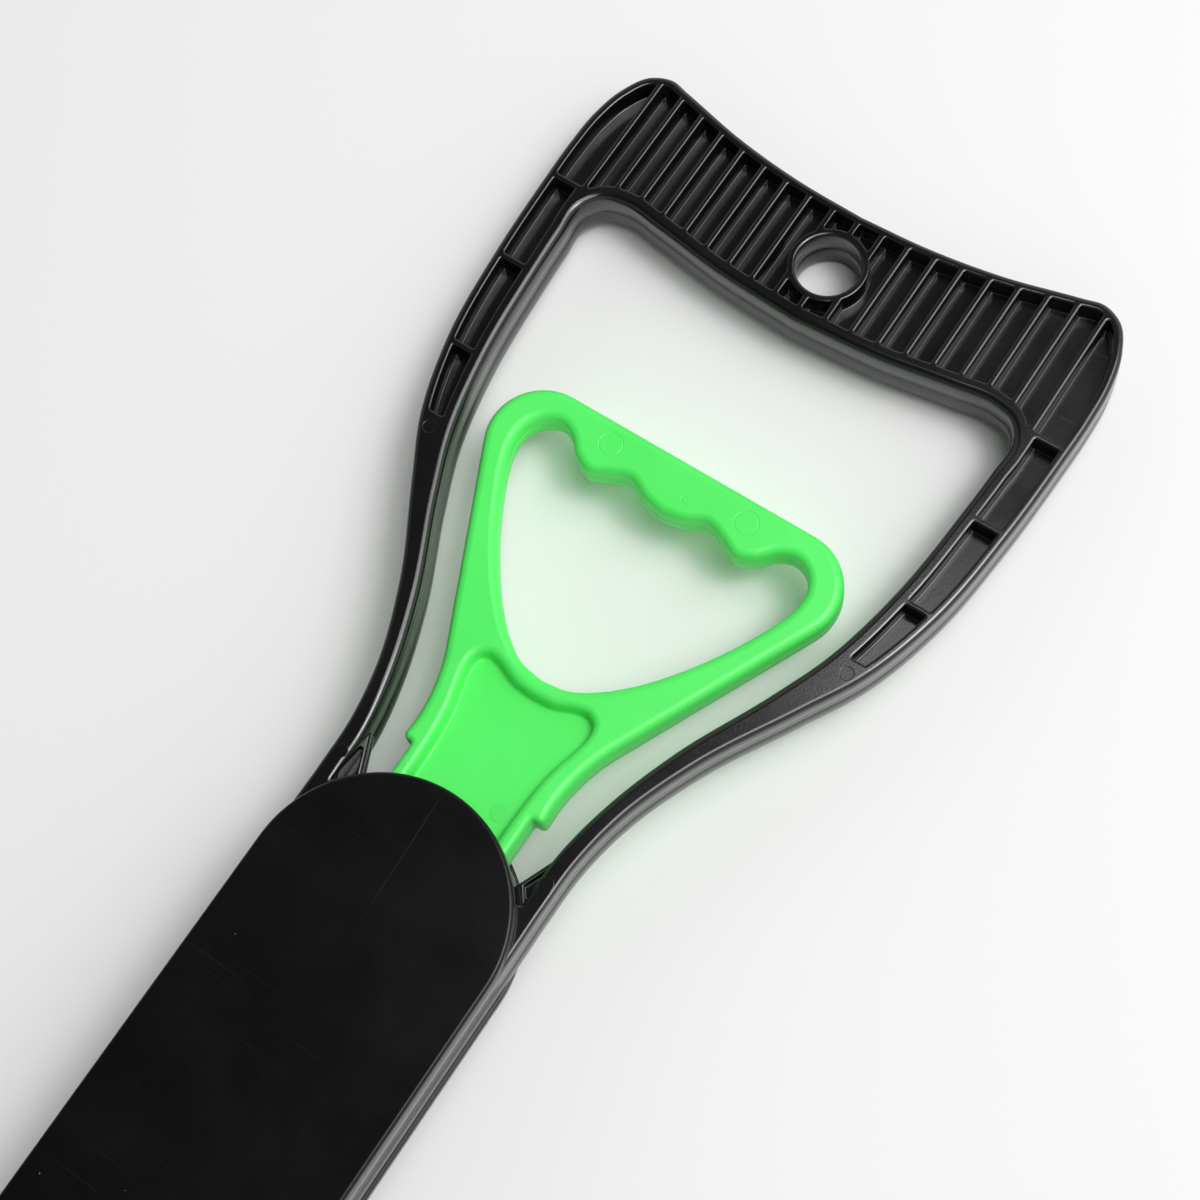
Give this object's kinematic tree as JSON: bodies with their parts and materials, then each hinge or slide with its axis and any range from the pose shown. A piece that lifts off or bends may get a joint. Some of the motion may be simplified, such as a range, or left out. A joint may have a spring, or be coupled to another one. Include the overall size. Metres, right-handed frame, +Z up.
{
  "type": "leaf grabber",
  "caption": "Long-handled leaf grabber: pulling a green handle towards the D-grip closes two geared, fingered hands at the far end.",
  "frame": {"origin": "on the surface that the tool lies on, at the middle of the bounding box: the tool lies on its back on the two lower corners of the D-grip and on the lowest fingertips", "axes": "+Y towards the D-grip along the tool, +X to the right of a person holding it with the front cover up, +Z up off the surface; the tool itself leans 4.424 degrees, grip end down"},
  "size_m": [0.4624, 0.7982, 0.1356],
  "materials": {
    "black_plastic": "satin black moulded polypropylene with a fine grain",
    "cover_plastic": "fine matt black moulded plastic with faint scuffs",
    "green_plastic": "semi-gloss bright green moulded plastic, slightly translucent",
    "gear_plastic": "natural off-white acetal",
    "steel": "zinc-plated steel",
    "rubber": "soft black rubber"
  },
  "bodies": {
    "frame": {"cover_screw_left_1": "steel", "cover_screw_left_2": "steel", "cover_screw_left_3": "steel", "cover_screw_left_4": "steel", "cover_screw_right_1": "steel", "cover_screw_right_2": "steel", "cover_screw_right_3": "steel", "cover_screw_right_4": "steel", "front_cover": "cover_plastic", "handle_frame": "black_plastic", "pivot_bolt_left": "steel", "pivot_bolt_right": "steel", "pivot_nut_left": "steel", "pivot_nut_right": "steel", "rack_bumper": "rubber", "rack_stop": "black_plastic", "rear_cover": "cover_plastic", "stop_screw": "steel", "thrust_washer_left_front": "steel", "thrust_washer_left_rear": "steel", "thrust_washer_right_front": "steel", "thrust_washer_right_rear": "steel"},
    "puller": {"collar_pin": "steel", "pull_handle": "green_plastic", "pull_rod": "steel", "rack": "gear_plastic", "return_spring": "steel", "rod_pin_lower": "steel", "rod_pin_upper": "steel", "spring_collar": "black_plastic"},
    "right_hand": {"gear_sector_right": "gear_plastic", "hand_right": "green_plastic", "pivot_bush_right": "steel", "sector_screw_right_1": "steel", "sector_screw_right_2": "steel"},
    "left_hand": {"gear_sector_left": "gear_plastic", "hand_left": "green_plastic", "pivot_bush_left": "steel", "sector_screw_left_1": "steel", "sector_screw_left_2": "steel"}
  },
  "joints": [
    {"name": "right_hand_swing", "type": "hinge", "parent": "frame", "child": "right_hand", "pos_m": [0.044, -0.25643, 0.05766], "axis": [0, 0.0771, 0.997], "range_deg": [-63.66, 0]},
    {"name": "left_hand_swing", "type": "hinge", "parent": "frame", "child": "left_hand", "pos_m": [-0.044, -0.25643, 0.05766], "axis": [0, 0.0771, 0.997], "range_deg": [0, 63.66]},
    {"name": "pull_slide", "type": "slide", "parent": "frame", "child": "puller", "axis": [0, 0.997, -0.0771], "range_m": [0, 0.04], "stiffness_N_per_m": 250, "springref_m": -0.02, "deforming": ["return_spring"]}
  ],
  "couplings": [
    {"joint": "left_hand_swing", "follows": "right_hand_swing", "ratio": -1},
    {"joint": "pull_slide", "follows": "right_hand_swing", "m_per_rad": -0.036}
  ]
}
